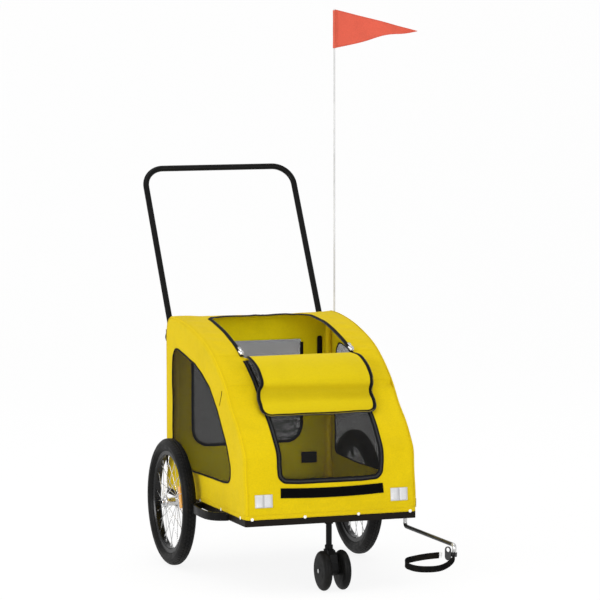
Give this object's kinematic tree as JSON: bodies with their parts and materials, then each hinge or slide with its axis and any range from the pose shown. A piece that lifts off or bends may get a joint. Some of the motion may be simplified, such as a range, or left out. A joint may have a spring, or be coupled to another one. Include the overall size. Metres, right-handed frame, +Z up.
{
  "type": "bicycle trailer",
  "caption": "Two-wheeled bicycle trailer with a folding fabric cabin, mesh windows, roll-back zip door, push handle, swivel castor, side tow arm and safety flag.",
  "frame": {"origin": "on the ground, midway between the two main wheels, directly below their axle", "axes": "+Z up, -Y the travel direction towards the tow arm's hitch, +X the side that carries the tow arm and the flag"},
  "size_m": [0.8906, 1.4463, 1.737],
  "materials": {
    "frame_tube": "satin",
    "axle_steel": "satin",
    "floor": "matt",
    "bumper": "satin",
    "black_plastic": "matt",
    "tyre_rubber": "matt",
    "rim_alloy": "satin",
    "chrome_parts": "polished",
    "amber_reflector": "gloss",
    "silver_reflector": "gloss",
    "tow_steel": "satin",
    "webbing": "woven",
    "white_plastic": "gloss",
    "yellow_fabric": "woven",
    "grey_mesh": "mesh",
    "flag_fabric": "woven"
  },
  "bodies": {
    "base": {"base_frame": "frame_tube", "floor_board": "floor", "axle_tube": "axle_steel", "hoop_brackets": "frame_tube", "rear_post_brackets": "frame_tube", "frame_pivot_pins": "axle_steel", "left_axle_pin": "axle_steel", "right_axle_pin": "axle_steel", "wheel_bumper_bars": "bumper", "tow_arm_bush": "black_plastic", "fabric_cover": "yellow_fabric", "left_side_mesh": "grey_mesh", "right_side_mesh": "grey_mesh", "front_mesh": "grey_mesh", "rear_mesh": "grey_mesh", "side_window_piping": "webbing", "zip_tape": "webbing", "snap_fasteners": "chrome_parts", "front_reflectors": "silver_reflector", "hook_and_loop_strip": "webbing", "flag_socket": "black_plastic", "flag_pole": "white_plastic", "flag_pennant": "flag_fabric"},
    "left_hoop": {"left_hoop": "frame_tube"},
    "right_hoop": {"right_hoop": "frame_tube"},
    "rear_posts": {"rear_posts": "frame_tube", "rear_post_knuckles": "black_plastic", "handle_pivot_bolts": "axle_steel"},
    "handle": {"handle_bar": "frame_tube", "handle_knuckles": "black_plastic"},
    "left_release_button": {"left_release_button": "black_plastic"},
    "right_release_button": {"right_release_button": "black_plastic"},
    "left_wheel": {"left_tyre": "tyre_rubber", "left_rim": "rim_alloy", "left_hub": "chrome_parts", "left_hub_bearings": "chrome_parts", "left_spokes": "chrome_parts", "left_spoke_reflectors": "amber_reflector"},
    "right_wheel": {"right_tyre": "tyre_rubber", "right_rim": "rim_alloy", "right_hub": "chrome_parts", "right_hub_bearings": "chrome_parts", "right_spokes": "chrome_parts", "right_spoke_reflectors": "amber_reflector"},
    "left_axle_button": {"left_axle_button": "black_plastic"},
    "right_axle_button": {"right_axle_button": "black_plastic"},
    "castor_stem": {"castor_stem": "black_plastic"},
    "castor_fork": {"castor_fork": "black_plastic", "castor_axle": "axle_steel"},
    "castor_wheel_left": {"castor_wheel_left": "tyre_rubber"},
    "castor_wheel_right": {"castor_wheel_right": "tyre_rubber"},
    "tow_arm": {"tow_arm": "tow_steel", "tow_arm_cotter": "axle_steel", "safety_strap": "webbing", "strap_clip": "white_plastic"},
    "hitch_plate": {"hitch_plate": "tow_steel"},
    "door_flap": {"door_flap": "yellow_fabric"},
    "left_zip_slider": {"left_zip_slider": "chrome_parts"},
    "right_zip_slider": {"right_zip_slider": "chrome_parts"}
  },
  "joints": [
    {"name": "frame_fold", "type": "hinge", "parent": "base", "child": "left_hoop", "pos_m": [-0.262, 0, 0.236], "axis": [0, 1, 0], "range_deg": [0, 90], "deforming": ["fabric_cover", "left_side_mesh", "right_side_mesh", "front_mesh", "rear_mesh", "side_window_piping", "zip_tape", "front_reflectors", "hook_and_loop_strip", "door_flap", "left_zip_slider", "right_zip_slider"]},
    {"name": "right_hoop_fold", "type": "hinge", "parent": "base", "child": "right_hoop", "pos_m": [0.262, 0, 0.262], "axis": [0, 1, 0], "range_deg": [-90, 0]},
    {"name": "rear_post_fold", "type": "hinge", "parent": "base", "child": "rear_posts", "pos_m": [0, 0.18, 0.486], "axis": [1, 0, 0], "range_deg": [0, 90]},
    {"name": "handle_tilt", "type": "hinge", "parent": "rear_posts", "child": "handle", "pos_m": [0, 0.18, 0.7], "axis": [1, 0, 0], "range_deg": [-145, 0]},
    {"name": "left_release_press", "type": "slide", "parent": "handle", "child": "left_release_button", "axis": [1, 0, 0], "range_m": [0, 0.003]},
    {"name": "right_release_press", "type": "slide", "parent": "handle", "child": "right_release_button", "axis": [-1, 0, 0], "range_m": [0, 0.003]},
    {"name": "left_wheel_spin", "type": "hinge", "parent": "base", "child": "left_wheel", "pos_m": [-0.3108, 0, 0.2], "axis": [1, 0, 0], "continuous": true},
    {"name": "right_wheel_spin", "type": "hinge", "parent": "base", "child": "right_wheel", "pos_m": [0.3108, 0, 0.2], "axis": [1, 0, 0], "continuous": true},
    {"name": "left_axle_button_press", "type": "slide", "parent": "base", "child": "left_axle_button", "axis": [1, 0, 0], "range_m": [0, 0.002]},
    {"name": "right_axle_button_press", "type": "slide", "parent": "base", "child": "right_axle_button", "axis": [-1, 0, 0], "range_m": [0, 0.002]},
    {"name": "castor_height", "type": "slide", "parent": "base", "child": "castor_stem", "axis": [0, 0, 1], "range_m": [-0.03, 0]},
    {"name": "castor_swivel", "type": "hinge", "parent": "castor_stem", "child": "castor_fork", "pos_m": [0, -0.575, 0.119], "axis": [0, 0, 1], "continuous": true},
    {"name": "castor_left_spin", "type": "hinge", "parent": "castor_fork", "child": "castor_wheel_left", "pos_m": [-0.0304, -0.6064, 0.0604], "axis": [1, 0, 0], "continuous": true},
    {"name": "castor_right_spin", "type": "hinge", "parent": "castor_fork", "child": "castor_wheel_right", "pos_m": [0.0304, -0.6064, 0.0604], "axis": [1, 0, 0], "continuous": true},
    {"name": "tow_arm_swing", "type": "hinge", "parent": "base", "child": "tow_arm", "pos_m": [0.263, -0.537, 0.214], "axis": [0, 0, 1], "range_deg": [-50, 95]},
    {"name": "hitch_swivel", "type": "hinge", "parent": "tow_arm", "child": "hitch_plate", "pos_m": [0.26109, -0.929, 0.143], "axis": [-0.0704, 0, -0.9975], "range_deg": [-30, 30]},
    {"name": "door_flap_fold", "type": "hinge", "parent": "base", "child": "door_flap", "pos_m": [0, -0.311, 0.682], "axis": [1, 0, 0], "range_deg": [-205, 0]},
    {"name": "left_zip_travel", "type": "slide", "parent": "base", "child": "left_zip_slider", "axis": [0, 0.9492, 0.3147], "range_m": [0, 0.19]},
    {"name": "right_zip_travel", "type": "slide", "parent": "base", "child": "right_zip_slider", "axis": [0, 0.9492, 0.3147], "range_m": [0, 0.19]}
  ],
  "couplings": [
    {"joint": "right_hoop_fold", "follows": "frame_fold", "ratio": -1},
    {"joint": "rear_post_fold", "follows": "frame_fold", "ratio": 1}
  ]
}
